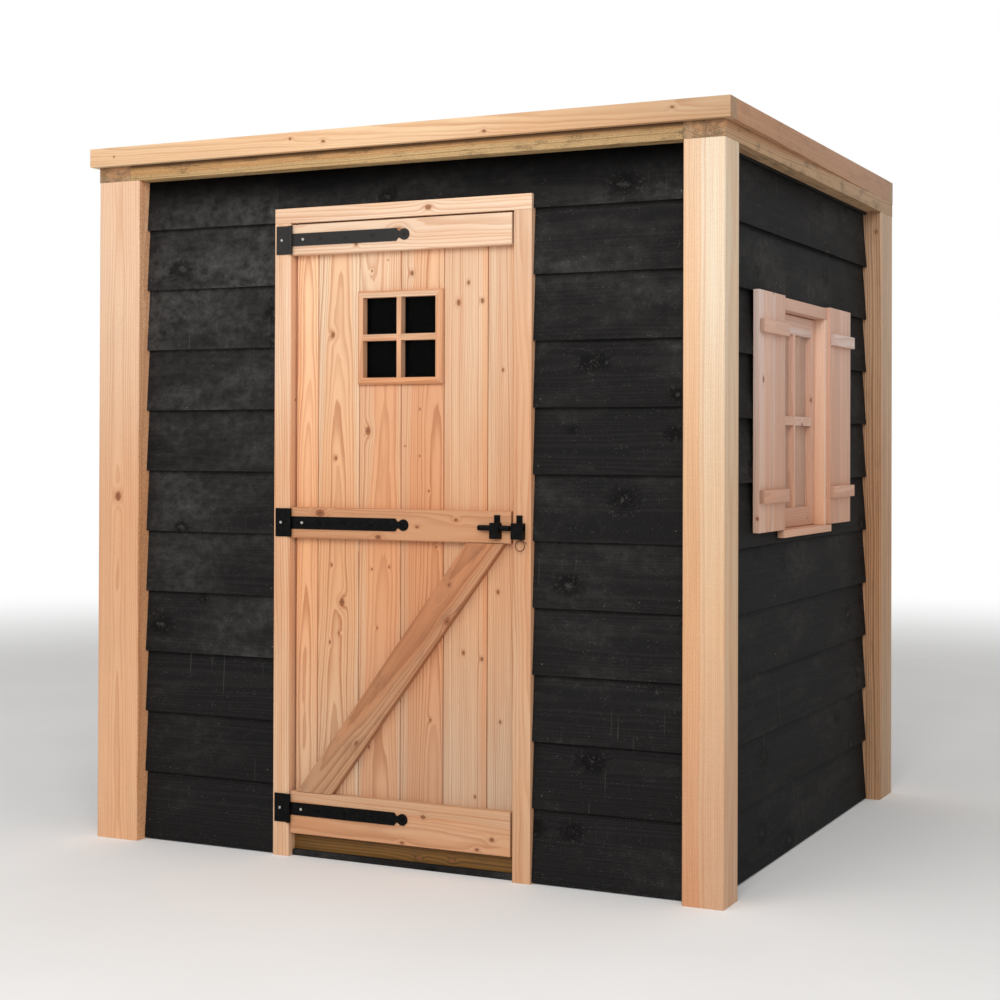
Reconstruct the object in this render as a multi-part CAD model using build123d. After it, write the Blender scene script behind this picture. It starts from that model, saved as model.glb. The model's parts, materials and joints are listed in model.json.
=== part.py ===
from build123d import *
import os

# A small wooden tool shed: square corner posts, lapped boards set back between them, a flat
# roof behind a two-tier timber edge, a ledged and braced plank door and a shuttered window.
# All sizes are in millimetres. +X runs to the right along the front, +Y towards the back,
# +Z up, and the origin lies on the ground under the middle of the shed.

# Posts
shed_width = 2090.0
shed_depth = 1876.0
post_height = 2080.0
post_size = 120.0
front_left_post_width = 155.0
rear_right_post_depth = 168.0
post_edge_ease = 3.0

# Roof edge: a ring of flat beams on the posts, and a projecting fascia on the ring
ring_height = 48.0
ring_width = 120.0
fascia_front_height = 58.0
fascia_rear_height = 78.0
fascia_thickness = 52.0
fascia_overhang = 22.0
fascia_right_rear_overhang = -4.0

# Flat roof inside the fascia
joist_width = 48.0
joist_height = 100.0
joist_count = 3
deck_thickness = 18.0
membrane_thickness = 3.0
roof_fit_gap = 0.5

# Lapped wall boards, measured behind the posts' outer faces
cladding_setback = 43.0
right_wall_inset = 8.0
lap_step = 14.0
board_tip = 12.0
board_exposure = 190.0
first_lap_height = 216.0
side_board_exposure = 186.2
side_first_lap_height = 211.0
lowest_course = -1
thinnest_strip = 0.01
cladding_bottom = 6.0
stud_width = 45.0
stud_depth = 45.0
rear_stud_count = 2
left_stud_count = 2

# Floor and threshold
bearer_width = 70.0
bearer_height = 40.0
bearer_count = 4
floor_thickness = 22.0
threshold_base_height = 18.0
threshold_base_setback = 53.0
threshold_base_depth = 45.0
threshold_setback = 66.0

# Door frame
door_opening_from_left = 697.0
door_opening_width = 750.0
wall_over_door = 115.0
jamb_width = 56.0
jamb_setback = 32.0
door_head_height = 45.0
stop_width = 15.0

# Door leaf
leaf_gap = 5.0
leaf_latch_gap = 7.5
leaf_bottom = 70.0
leaf_recess = 28.5
leaf_thickness = 20.0
first_board_width = 77.0
door_board_width = 143.0
door_board_joint = 0.6
door_board_chamfer = 2.5
top_ledge_height = 93.0
middle_ledge_height = 93.0
middle_ledge_bottom = 965.0
bottom_ledge_height = 128.0
ledge_thickness = 27.0
ledge_edge_ease = 3.0
brace_inset = 23.0
brace_cut_length = 120.0
brace_fit_gap = 0.5

# Small window in the door
door_window_below_leaf_top = 209.0
door_window_height = 279.0
door_window_fit = 0.6
door_window_member = 20.0
door_window_upright_bar = 15.0
door_window_cross_bar = 19.0
door_window_proud = 15.0
door_window_depth = 40.0
door_window_chamfer = 6.0

# Window in the right wall
window_behind_middle = -30.0
window_width = 502.0
window_below_ring = 380.5
window_height = 729.0
sill_height = 22.0
sill_horn = 12.0
sill_proud = 22.0
window_head_height = 37.0
casing_thickness = 20.0
casing_proud = 9.0
sash_gap = 2.0
sash_recess = 34.5
sash_thickness = 32.0
sash_stile = 45.0
sash_top_rail = 60.0
sash_bottom_rail = 62.0
sash_upright_bar = 14.0
sash_cross_bar = 28.0
sash_chamfer = 4.0

# Glazing of both windows
glass_thickness = 4.0
glass_rebate = 9.0
glass_rebate_depth = 14.0
glass_fit = 0.5

# Shutters, open flat against the wall
shutter_width = 253.5
shutter_sill_gap = 2.0
shutter_over_head = 3.0
shutter_thickness = 20.0
shutter_wall_gap = 0.3
shutter_groove = 4.0
batten_height = 38.0
batten_thickness = 15.0
batten_end_inset = 105.0

# Strap hinges
knuckle_radius = 6.0
pin_radius = 3.0
pin_clearance = 0.3
knuckle_gap = 0.5
hinge_sheet = 3.0
hinge_plate_width = 52.0
hinge_plate_height = 86.0
strap_height = 38.0
strap_length = 407.0
strap_neck_height = 20.0
strap_neck_length = 10.0
strap_finial_radius = 17.0
strap_shoulder = 7.0
bottom_hinge_rise = 12.0

# Slide bolt
bolt_radius = 8.0
bolt_clearance = 0.4
bolt_rise = 45.0
bolt_proud = 12.0
bolt_keeper_gap = 6.0
bolt_end_chamfer = 2.0
latch_block_height = 46.0
latch_block_over_bolt = 15.0
latch_block_proud = 24.0
latch_tab_width = 18.0
latch_tab_height = 22.0
latch_tab_thickness = 4.0
latch_edge_ease = 2.0
guide_width = 28.0
guide_from_leaf_edge = 29.0
keeper_width = 36.0
keeper_from_opening = 3.0
pull_ring_radius = 14.5
pull_ring_wire = 1.6
pull_ring_wire_sides = 8
pull_ring_stem = 4.0
pull_ring_from_keeper_end = 12.0
pull_ring_tail_start = 9.0
pull_ring_tail_length = 16.0
pull_ring_tail_slope = 36.0

# Places that several pieces share
half_width = shed_width / 2
half_depth = shed_depth / 2
ring_top = post_height + ring_height
fascia_front_top = ring_top + fascia_front_height
fascia_rear_top = ring_top + fascia_rear_height
cladding_inner = cladding_setback + lap_step + board_tip
stud_inner = cladding_inner + stud_depth
right_wall_end = half_depth - rear_right_post_depth
floor_top = bearer_height + floor_thickness
floor_left = post_size - half_width
floor_right = half_width - right_wall_inset - post_size
opening_left = door_opening_from_left - half_width
opening_right = opening_left + door_opening_width
door_opening_top = post_height - wall_over_door - door_head_height
jamb_face = jamb_setback - half_depth
jamb_back = stud_inner - half_depth
leaf_left = opening_left + leaf_gap
leaf_right = opening_right - leaf_latch_gap
leaf_top = door_opening_top - leaf_gap
leaf_face = jamb_face + leaf_recess
leaf_back = leaf_face + leaf_thickness
ledge_face = leaf_face - ledge_thickness
middle_ledge_top = middle_ledge_bottom + middle_ledge_height
bottom_ledge_top = leaf_bottom + bottom_ledge_height
door_window_top = leaf_top - door_window_below_leaf_top
door_window_bottom = door_window_top - door_window_height
hinge_x = (opening_left + leaf_left) / 2
hinge_y = jamb_face - knuckle_radius
window_front = window_behind_middle - window_width / 2
window_rear = window_behind_middle + window_width / 2
window_top = post_height - window_below_ring
window_bottom = window_top - window_height
window_head_bottom = window_top - window_head_height
sill_top = window_bottom + sill_height
shutter_bottom = sill_top + shutter_sill_gap
shutter_top = window_top + shutter_over_head
bolt_z = middle_ledge_bottom + bolt_rise
bolt_y = jamb_face - bolt_proud
guide_right = leaf_right - guide_from_leaf_edge
guide_left = guide_right - guide_width
keeper_left = opening_right + keeper_from_opening
keeper_right = keeper_left + keeper_width
bolt_tip = keeper_left - bolt_keeper_gap
bolt_travel = keeper_right - bolt_tip
latch_block_top = bolt_z + latch_block_over_bolt
latch_block_bottom = latch_block_top - latch_block_height

low_corner = (Align.MIN, Align.MIN, Align.MIN)


def block(x0, x1, y0, y1, z0, z1):
    """A plain timber between two corners."""
    return Pos(x0, y0, z0) * Box(x1 - x0, y1 - y0, z1 - z0, align=low_corner)


def eased(solid, axis, amount):
    """Break the long edges of a timber that run along one axis."""
    return chamfer(solid.edges().filter_by(axis), amount)


def rod(radius, length):
    """A round bar that rises from the local origin."""
    return Cylinder(radius, length, align=(Align.CENTER, Align.CENTER, Align.MIN))


def save(node, *solids):
    """Write the solids of one node."""
    export_step(Compound(children=list(solids)), f"parts/{node}.step")


# Posts

def post(side, end, width, depth):
    """A corner post: side is -1 on the left and 1 on the right, end is -1 at the front."""
    x_outer = side * half_width
    x_inner = side * (half_width - width)
    y_outer = end * half_depth
    y_inner = end * (half_depth - depth)
    timber = block(min(x_outer, x_inner), max(x_outer, x_inner),
                   min(y_outer, y_inner), max(y_outer, y_inner), 0, post_height)
    return eased(timber, Axis.Z, post_edge_ease)


# Roof

def right_edge(y, inset):
    """The fascia's outer line on the right, which runs in a little towards the back."""
    front = -half_depth - fascia_overhang
    run = (y - front) / (shed_depth + 2 * fascia_overhang)
    return half_width + fascia_overhang - (fascia_overhang - fascia_right_rear_overhang) * run - inset


def roof_sheet(inset, z0, thickness):
    """A flat sheet inside the roof edge, held back from the fascia's outer lines."""
    front = inset - half_depth - fascia_overhang
    outline = Polygon((left_edge(front, inset), front), (right_edge(front, inset), front),
                      (right_edge(-front, inset), -front), (left_edge(-front, inset), -front), align=None)
    return Pos(0, 0, z0) * extrude(outline, thickness)


def ring_beam_across(end):
    """A ring beam at the front or the back, between the side ones."""
    y_outer = end * half_depth
    y_inner = end * (half_depth - ring_width)
    reach = half_width - ring_width
    return block(-reach, reach, min(y_outer, y_inner), max(y_outer, y_inner), post_height, ring_top)


def ring_beam_along(side):
    """A ring beam that runs the whole depth, with its end grain showing at the front."""
    x_outer = side * half_width
    x_inner = side * (half_width - ring_width)
    return block(min(x_outer, x_inner), max(x_outer, x_inner), -half_depth, half_depth,
                 post_height, ring_top)


def fascia_across(end, top):
    """A fascia timber that runs the whole width, with its end grain showing at the sides."""
    y_outer = end * (half_depth + fascia_overhang)
    y_inner = y_outer - end * fascia_thickness
    return block(-half_width - fascia_overhang, right_edge(y_outer, 0),
                 min(y_outer, y_inner), max(y_outer, y_inner), ring_top, top)


def left_edge(y, inset):
    """The fascia's outer line on the left, which is straight."""
    return inset - half_width - fascia_overhang


def fascia_along(edge):
    """A side fascia that follows one edge line and rises from the front fascia's top to the rear one's."""
    reach = half_depth + fascia_overhang - fascia_thickness
    outline = Polygon((edge(-reach, fascia_thickness), -reach), (edge(-reach, 0), -reach),
                      (edge(reach, 0), reach), (edge(reach, fascia_thickness), reach), align=None)
    rise = Polygon((-reach, ring_top), (reach, ring_top), (reach, fascia_rear_top),
                   (-reach, fascia_front_top), align=None)
    timber = Pos(0, 0, ring_top) * extrude(outline, fascia_rear_height, dir=Axis.Z.direction)
    return timber & extrude(Plane.YZ * rise, shed_width, both=True)


def roof_joists():
    """Joists from the front ring beam to the back one, level with the ring's top."""
    reach = half_depth - ring_width
    clear_width = shed_width - 2 * ring_width
    step = clear_width / (joist_count + 1)
    joists = []
    for i in range(joist_count):
        x = (i + 1) * step - clear_width / 2
        joists.append(block(x - joist_width / 2, x + joist_width / 2, -reach, reach,
                            ring_top - joist_height, ring_top))
    return joists


# Walls

def lap_spacing(side):
    """The height of the first lap and the board exposure, which differ on the side walls."""
    if side in ("left", "right"):
        return side_first_lap_height, side_board_exposure
    return first_lap_height, board_exposure


def cladding_profile(side, z0, z1):
    """The saw-tooth section of lapped boards from one height to another, as depth and height."""
    first_lap, exposure = lap_spacing(side)
    lowest = max(int((z0 - first_lap) // exposure), lowest_course)
    highest = int((z1 - first_lap) // exposure)
    points = []
    for course in range(lowest, highest + 1):
        base = first_lap + course * exposure
        low = z0 if course == lowest_course else max(base, z0)
        high = min(base + exposure, z1)
        if high - low > thinnest_strip:
            points.append((cladding_setback + lap_step * (low - base) / exposure, low))
            points.append((cladding_setback + lap_step * (high - base) / exposure, high))
    return points + [(cladding_inner, z1), (cladding_inner, z0)]


def wall_place(side):
    """The frame of one wall: its run along local X, its depth inwards along local Y."""
    places = {
        "front": Pos(0, -half_depth, 0),
        "right": Pos(half_width - right_wall_inset, 0, 0) * Rot(0, 0, 90),
        "rear": Pos(0, half_depth, 0) * Rot(0, 0, 180),
        "left": Pos(-half_width, 0, 0) * Rot(0, 0, -90),
    }
    return places[side]


def boarded_wall(side, start, end, z0, z1):
    """Lapped boards of one wall from start to end along its run."""
    section = Plane.YZ * Polygon(*cladding_profile(side, z0, z1), align=None)
    return wall_place(side) * Pos(start, 0, 0) * extrude(section, end - start, dir=Axis.X.direction)


def stud(side, start):
    """An upright behind the boards, from the ground to the ring beam."""
    upright = block(start, start + stud_width, cladding_inner, stud_inner, 0, post_height)
    return wall_place(side) * upright


def wall_studs():
    """Uprights beside the posts, between them, and beside the window."""
    run_across = half_width - post_size
    run_along = half_depth - post_size
    studs = [stud("front", front_left_post_width - half_width), stud("front", run_across - stud_width)]
    for side, reach, count in (("rear", run_across, rear_stud_count), ("left", run_along, left_stud_count)):
        last = reach - stud_width
        for i in range(count + 2):
            studs.append(stud(side, -reach + i * (last + reach) / (count + 1)))
    for start in (-run_along, window_front - stud_width, window_rear, right_wall_end - stud_width):
        studs.append(stud("right", start))
    return studs


# Floor and door frame

def floor_boards():
    """The floor between the posts' inner faces."""
    reach = half_depth - post_size
    return block(floor_left, floor_right, -reach, reach, bearer_height, floor_top)


def floor_bearers():
    """Flat bearers under the floor, from side to side."""
    first = post_size - half_depth
    step = (-2 * first - bearer_width) / (bearer_count - 1)
    starts = [first + i * step for i in range(bearer_count)]
    return [block(floor_left, floor_right, y, y + bearer_width, 0, bearer_height) for y in starts]


def threshold():
    """The board under the door, from behind the leaf's face to the floor."""
    return block(opening_left, opening_right, threshold_setback - half_depth, post_size - half_depth,
                 threshold_base_height, floor_top)


def threshold_base():
    """The dark strip on the ground under the threshold."""
    front = threshold_base_setback - half_depth
    return block(opening_left, opening_right, front, front + threshold_base_depth, 0, threshold_base_height)


def door_jamb(edge, outwards):
    """A jamb beside the opening, standing on the ground."""
    far = edge + outwards * jamb_width
    return block(min(edge, far), max(edge, far), jamb_face, jamb_back, 0, door_opening_top)


def door_head():
    """The head across both jambs."""
    return block(opening_left - jamb_width, opening_right + jamb_width, jamb_face, jamb_back,
                 door_opening_top, door_opening_top + door_head_height)


def door_stops():
    """Strips behind the closed leaf, up both jambs and under the head."""
    front = leaf_back + leaf_gap
    inner_left = opening_left + stop_width
    inner_right = opening_right - stop_width
    sides = [block(opening_left, inner_left, front, jamb_back, floor_top, door_opening_top),
             block(inner_right, opening_right, front, jamb_back, floor_top, door_opening_top)]
    return sides + [block(inner_left + roof_fit_gap, inner_right - roof_fit_gap, front, jamb_back,
                          door_opening_top - stop_width, door_opening_top)]


# Door leaf

def door_board(x0, x1, z0, z1):
    """One upright board with a bevel down both front edges."""
    board = block(x0 + door_board_joint / 2, x1 - door_board_joint / 2, leaf_face, leaf_back, z0, z1)
    front_edges = board.edges().filter_by(Axis.Z).group_by(Axis.Y)[0]
    return chamfer(front_edges, door_board_chamfer)


def board_joints():
    """The places of the board edges, from the hinge side to the latch side."""
    inner = [leaf_left + first_board_width]
    while inner[-1] + door_board_width < leaf_right:
        inner.append(inner[-1] + door_board_width)
    return [leaf_left] + inner + [leaf_right]


def door_window_sides():
    """The left and right edges of the cut for the window: the two boards beside the middle joint."""
    joints = board_joints()
    middle = len(joints) // 2
    return joints[middle - 1], joints[middle + 1]


def door_boards():
    """All boards of the leaf, the two middle ones cut through for the window."""
    joints = board_joints()
    cut_left, cut_right = door_window_sides()
    boards = []
    for x0, x1 in zip(joints, joints[1:]):
        if cut_left <= x0 < cut_right:
            boards.append(door_board(x0, x1, leaf_bottom, door_window_bottom))
            boards.append(door_board(x0, x1, door_window_top, leaf_top))
        else:
            boards.append(door_board(x0, x1, leaf_bottom, leaf_top))
    return boards


def ledge(z0, z1):
    """A board across the leaf, level with the jamb faces."""
    board = block(leaf_left, leaf_right, ledge_face, leaf_face, z0, z1)
    front_edges = board.edges().filter_by(Axis.X).group_by(Axis.Y)[0]
    return chamfer(front_edges, ledge_edge_ease)


def door_brace():
    """The slanting brace, from the foot at the hinge side up to the middle ledge."""
    z0 = bottom_ledge_top + brace_fit_gap
    z1 = middle_ledge_bottom - brace_fit_gap
    foot = leaf_left + brace_inset
    head = leaf_right - brace_inset
    outline = Polygon((foot, z0), (foot + brace_cut_length, z0), (head, z1), (head - brace_cut_length, z1),
                      align=None)
    return Pos(0, leaf_face, 0) * extrude(Plane.XZ * outline, ledge_thickness)


# Windows

def glazed_frame(width, z0, z1, stile, top_rail, bottom_rail, bars, depth, bevel):
    """A frame with an upright and a cross bar and a rebate behind, its face at local Y zero."""
    upright_half, cross_half = (bar / 2 for bar in bars)
    frame = block(-width / 2, width / 2, 0, depth, z0, z1)
    inner_left = stile - width / 2
    low = z0 + bottom_rail
    high = z1 - top_rail
    middle = (low + high) / 2
    for x0, x1 in ((inner_left, -upright_half), (upright_half, -inner_left)):
        for low_edge, high_edge in ((low, middle - cross_half), (middle + cross_half, high)):
            frame -= block(x0, x1, 0, depth, low_edge, high_edge)
    frame -= block(inner_left - glass_rebate, glass_rebate - inner_left, depth - glass_rebate_depth, depth,
                   low - glass_rebate, high + glass_rebate)
    rim = frame.faces().sort_by(Axis.Y)[0].outer_wire().edges()
    return chamfer(rim, bevel)


def glass_sheet(width, z0, z1, stile, top_rail, bottom_rail, depth):
    """The pane behind a frame's bars, lying in the rebate."""
    reach = width / 2 - stile + glass_rebate - glass_fit
    face = depth - glass_rebate_depth
    return block(-reach, reach, face, face + glass_thickness,
                 z0 + bottom_rail - glass_rebate + glass_fit, z1 - top_rail + glass_rebate - glass_fit)


def door_window_place():
    """The frame of the door's window, on its middle and at its face."""
    cut_left, cut_right = door_window_sides()
    return Pos((cut_left + cut_right) / 2, leaf_face - door_window_proud, 0)


def door_window_size():
    """The width, bottom and top of the door's window frame."""
    cut_left, cut_right = door_window_sides()
    return cut_right - cut_left - 2 * door_window_fit, door_window_bottom, door_window_top


def door_window_frame():
    """The moulded frame and bars in the door."""
    member = door_window_member
    bars = (door_window_upright_bar, door_window_cross_bar)
    frame = glazed_frame(*door_window_size(), member, member, member, bars,
                         door_window_depth, door_window_chamfer)
    return door_window_place() * frame


def door_window_glass():
    """The pane of the door's window."""
    member = door_window_member
    return door_window_place() * glass_sheet(*door_window_size(), member, member, member, door_window_depth)


def sash_place():
    """The frame of the sash in the right wall, on its middle and at its face."""
    depth = cladding_setback - casing_proud + sash_recess
    return wall_place("right") * Pos(window_behind_middle, depth, 0)


def sash_size():
    """The width, bottom and top of the sash."""
    width = window_width - 2 * (casing_thickness + sash_gap)
    return width, sill_top, window_head_bottom - sash_gap


def window_sash():
    """The fixed sash with its cross of bars."""
    bars = (sash_upright_bar, sash_cross_bar)
    sash = glazed_frame(*sash_size(), sash_stile, sash_top_rail, sash_bottom_rail, bars,
                        sash_thickness, sash_chamfer)
    return sash_place() * sash


def window_glass():
    """The pane of the sash."""
    pane = glass_sheet(*sash_size(), sash_stile, sash_top_rail, sash_bottom_rail, sash_thickness)
    return sash_place() * pane


def window_casing(start, end, z0, z1):
    """A casing board of the window, from its proud outer edge to the studs' inner line."""
    board = block(start, end, cladding_setback - casing_proud, stud_inner, z0, z1)
    return wall_place("right") * board


def window_jambs():
    """The upright casing boards, from the sill to the head."""
    return [window_casing(window_front, window_front + casing_thickness, sill_top, window_head_bottom),
            window_casing(window_rear - casing_thickness, window_rear, sill_top, window_head_bottom)]


def window_sill():
    """The sill with horns that reach past the casing outside the boards."""
    face = cladding_setback - sill_proud
    wall_line = cladding_setback - shutter_wall_gap
    horn_front = window_front - sill_horn
    horn_rear = window_rear + sill_horn
    outline = Polygon((horn_front, face), (horn_rear, face), (horn_rear, wall_line),
                      (window_rear, wall_line), (window_rear, stud_inner), (window_front, stud_inner),
                      (window_front, wall_line), (horn_front, wall_line), align=None)
    return wall_place("right") * Pos(0, 0, window_bottom) * extrude(outline, sill_height)


def shutter_starts():
    """Where each open shutter begins along the right wall."""
    return window_front - shutter_width, window_rear


def shutter(start):
    """An open shutter of two boards with a groove at their joint."""
    back = cladding_setback - shutter_wall_gap
    face = back - shutter_thickness
    leaf = block(start, start + shutter_width, face, back, shutter_bottom, shutter_top)
    middle = start + shutter_width / 2
    groove = Polygon((middle - shutter_groove / 2, face), (middle, face + shutter_groove / 2),
                     (middle + shutter_groove / 2, face), align=None)
    leaf -= Pos(0, 0, shutter_bottom) * extrude(groove, shutter_top - shutter_bottom)
    return wall_place("right") * leaf


def shutter_battens():
    """Two battens across the face of each shutter."""
    face = cladding_setback - shutter_wall_gap - shutter_thickness
    battens = []
    for start in shutter_starts():
        for z0 in (shutter_bottom + batten_end_inset - batten_height / 2,
                   shutter_top - batten_end_inset - batten_height / 2):
            end = start + shutter_width
            batten = block(start, end, face - batten_thickness, face, z0, z0 + batten_height)
            battens.append(wall_place("right") * batten)
    return battens


# Hinges

def hinge_heights():
    """The middle heights of the three hinges."""
    return (leaf_bottom + bottom_ledge_height / 2 + bottom_hinge_rise,
            middle_ledge_bottom + middle_ledge_height / 2,
            leaf_top - top_ledge_height / 2)


def hinge_plate(z):
    """The jamb plate with its pin and the knuckles above and below the strap's."""
    low = z - hinge_plate_height / 2
    high = z + hinge_plate_height / 2
    knuckle = (hinge_plate_height - strap_height) / 2 - knuckle_gap
    clear_edge = hinge_x - knuckle_radius - knuckle_gap
    plate = block(hinge_x - hinge_plate_width, clear_edge, jamb_face - hinge_sheet, jamb_face, low, high)
    for z0 in (low, high - knuckle):
        plate += block(clear_edge, hinge_x, jamb_face - hinge_sheet, jamb_face, z0, z0 + knuckle)
        plate += Pos(hinge_x, hinge_y, z0) * rod(knuckle_radius, knuckle)
    return plate + Pos(hinge_x, hinge_y, low) * rod(pin_radius, hinge_plate_height)


def hinge_strap(z):
    """The long strap on a ledge, with a necked round end and the middle knuckle."""
    finial_x = strap_length - strap_finial_radius
    shoulder_end = finial_x - strap_finial_radius - strap_neck_length + strap_shoulder
    half = strap_height / 2
    neck = strap_neck_height / 2
    outline = Polygon((0, -half), (shoulder_end - strap_shoulder, -half), (shoulder_end, -neck),
                      (finial_x, -neck), (finial_x, neck), (shoulder_end, neck),
                      (shoulder_end - strap_shoulder, half), (0, half), align=None)
    outline += Pos(finial_x, 0) * Circle(strap_finial_radius)
    strap = Pos(hinge_x, ledge_face, z) * extrude(Plane.XZ * outline, hinge_sheet)
    strap += Pos(hinge_x, hinge_y, z - half) * rod(knuckle_radius, strap_height)
    return strap - Pos(hinge_x, hinge_y, z - half) * rod(pin_radius + pin_clearance, strap_height)


# Slide bolt

def latch_block(x0, x1, back):
    """A block with a tab above it, bored along X for the bolt."""
    face = jamb_face - latch_block_proud
    middle = (x0 + x1) / 2
    piece = eased(block(x0, x1, face, back, latch_block_bottom, latch_block_top), Axis.X, latch_edge_ease)
    half_tab = latch_tab_width / 2
    piece += block(middle - half_tab, middle + half_tab, back - latch_tab_thickness, back,
                   latch_block_top - latch_edge_ease, latch_block_top + latch_tab_height)
    bore = Pos(x0, bolt_y, bolt_z) * Rot(0, 90, 0) * rod(bolt_radius + bolt_clearance, x1 - x0)
    return piece - bore


def latch_bolt():
    """The round bolt, drawn back so that its tip stands clear of the keeper."""
    length = bolt_tip - guide_left + bolt_travel
    bolt = Pos(bolt_tip - length, bolt_y, bolt_z) * Rot(0, 90, 0) * rod(bolt_radius, length)
    return chamfer(bolt.edges().filter_by(GeomType.CIRCLE), bolt_end_chamfer)


def wire(length):
    """A straight run of the pull ring's wire, rising from the local origin."""
    return extrude(RegularPolygon(pull_ring_wire, pull_ring_wire_sides), length)


def pull_ring():
    """A bent wire under the keeper: a ring on a short stem, and the wire's other end as a loose tail."""
    x = keeper_right - pull_ring_from_keeper_end
    y = jamb_face - latch_block_proud / 2
    run_z = latch_block_bottom - pull_ring_wire
    stem_bottom = latch_block_bottom - pull_ring_stem
    section = Pos(pull_ring_radius, 0) * RegularPolygon(pull_ring_wire, pull_ring_wire_sides)
    ring = Pos(x, y, stem_bottom - pull_ring_radius) * Rot(90, 0, 0) * revolve(Plane.XZ * section, Axis.Z)
    ring += Pos(x, y, stem_bottom) * wire(pull_ring_stem)
    ring += Pos(x, y, run_z) * Rot(0, 90, 0) * wire(pull_ring_tail_start)
    tail_place = Pos(x + pull_ring_tail_start - pull_ring_wire, y, run_z)
    return ring + tail_place * Rot(0, 90 + pull_ring_tail_slope, 0) * wire(pull_ring_tail_length)


os.makedirs("parts", exist_ok=True)

save("post_front_left", post(-1, -1, front_left_post_width, post_size))
save("post_front_right", post(1, -1, post_size, post_size))
save("post_rear_left", post(-1, 1, post_size, post_size))
save("post_rear_right", post(1, 1, post_size, rear_right_post_depth))
save("ring_beams_front_rear", ring_beam_across(-1), ring_beam_across(1))
save("ring_beams_sides", ring_beam_along(-1), ring_beam_along(1))
save("fascia_front_rear", fascia_across(-1, fascia_front_top), fascia_across(1, fascia_rear_top))
save("fascia_sides", fascia_along(left_edge), fascia_along(right_edge))
save("roof_joists", *roof_joists())
save("roof_deck", roof_sheet(fascia_thickness + roof_fit_gap, ring_top, deck_thickness))
save("roof_membrane",
     roof_sheet(fascia_thickness + roof_fit_gap, ring_top + deck_thickness, membrane_thickness))

frame_left = opening_left - jamb_width
frame_right = opening_right + jamb_width
frame_top = door_opening_top + door_head_height
reach_across = half_width - post_size
reach_along = half_depth - post_size
save("front_wall_left",
     boarded_wall("front", front_left_post_width - half_width, frame_left, cladding_bottom, post_height))
save("front_wall_right", boarded_wall("front", frame_right, reach_across, cladding_bottom, post_height))
save("front_wall_over_door", boarded_wall("front", frame_left, frame_right, frame_top, post_height))
save("left_wall", boarded_wall("left", -reach_along, reach_along, cladding_bottom, post_height))
save("rear_wall", boarded_wall("rear", -reach_across, reach_across, cladding_bottom, post_height))
save("right_wall_front_part",
     boarded_wall("right", -reach_along, window_front, cladding_bottom, post_height))
save("right_wall_rear_part",
     boarded_wall("right", window_rear, right_wall_end, cladding_bottom, post_height))
save("right_wall_below_window",
     boarded_wall("right", window_front, window_rear, cladding_bottom, window_bottom))
save("right_wall_above_window", boarded_wall("right", window_front, window_rear, window_top, post_height))
save("wall_studs", *wall_studs())

save("floor_boards", floor_boards())
save("floor_bearers", *floor_bearers())
save("door_threshold", threshold())
save("threshold_base", threshold_base())
save("door_jambs", door_jamb(opening_left, -1), door_jamb(opening_right, 1))
save("door_head", door_head())
save("door_stops", *door_stops())

save("door_boards", *door_boards())
save("door_ledges", ledge(leaf_bottom, bottom_ledge_top), ledge(middle_ledge_bottom, middle_ledge_top),
     ledge(leaf_top - top_ledge_height, leaf_top))
save("door_brace", door_brace())
save("door_window_frame", door_window_frame())
save("door_window_glass", door_window_glass())

save("window_head", window_casing(window_front, window_rear, window_head_bottom, window_top))
save("window_jambs", *window_jambs())
save("window_sill", window_sill())
save("window_sash", window_sash())
save("window_glass", window_glass())
save("shutters", *[shutter(start) for start in shutter_starts()])
save("shutter_battens", *shutter_battens())

save("hinge_plates", *[hinge_plate(z) for z in hinge_heights()])
save("hinge_straps", *[hinge_strap(z) for z in hinge_heights()])
save("latch_guide", latch_block(guide_left, guide_right, ledge_face))
save("latch_keeper", latch_block(keeper_left, keeper_right, jamb_face))
save("latch_bolt", latch_bolt())
save("latch_ring", pull_ring())
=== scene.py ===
import bpy
import bmesh
import json
import math
import random
from mathutils import Matrix, Vector, noise

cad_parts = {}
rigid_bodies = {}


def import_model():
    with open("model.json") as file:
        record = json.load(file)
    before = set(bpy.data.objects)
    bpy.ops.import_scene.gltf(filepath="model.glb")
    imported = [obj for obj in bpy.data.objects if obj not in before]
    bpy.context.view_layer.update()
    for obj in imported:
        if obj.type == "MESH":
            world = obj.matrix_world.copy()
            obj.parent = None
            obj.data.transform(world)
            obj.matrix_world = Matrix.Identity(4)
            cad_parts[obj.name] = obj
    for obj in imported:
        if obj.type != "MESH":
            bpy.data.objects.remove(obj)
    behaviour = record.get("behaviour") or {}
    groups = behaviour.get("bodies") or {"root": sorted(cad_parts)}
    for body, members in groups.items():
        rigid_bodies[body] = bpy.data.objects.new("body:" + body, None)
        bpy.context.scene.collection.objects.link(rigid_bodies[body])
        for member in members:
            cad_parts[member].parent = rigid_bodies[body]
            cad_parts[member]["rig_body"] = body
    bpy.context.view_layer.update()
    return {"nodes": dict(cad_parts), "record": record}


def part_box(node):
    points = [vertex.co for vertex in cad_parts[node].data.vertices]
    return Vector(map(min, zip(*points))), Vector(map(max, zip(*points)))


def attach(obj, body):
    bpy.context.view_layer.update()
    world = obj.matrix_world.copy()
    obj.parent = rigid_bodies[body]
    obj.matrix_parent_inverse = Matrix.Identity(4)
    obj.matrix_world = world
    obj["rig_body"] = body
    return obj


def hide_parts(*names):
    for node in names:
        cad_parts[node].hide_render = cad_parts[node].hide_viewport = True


# The looks of a small wooden tool shed. Lengths are in metres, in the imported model's frame:
# +X to the right along the front, +Y to the back, +Z up.
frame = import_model()
nodes = frame["nodes"]
slot_of = {part["node"]: part["material_slot"] for part in frame["record"]["subparts"]}
mm = 0.001

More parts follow.
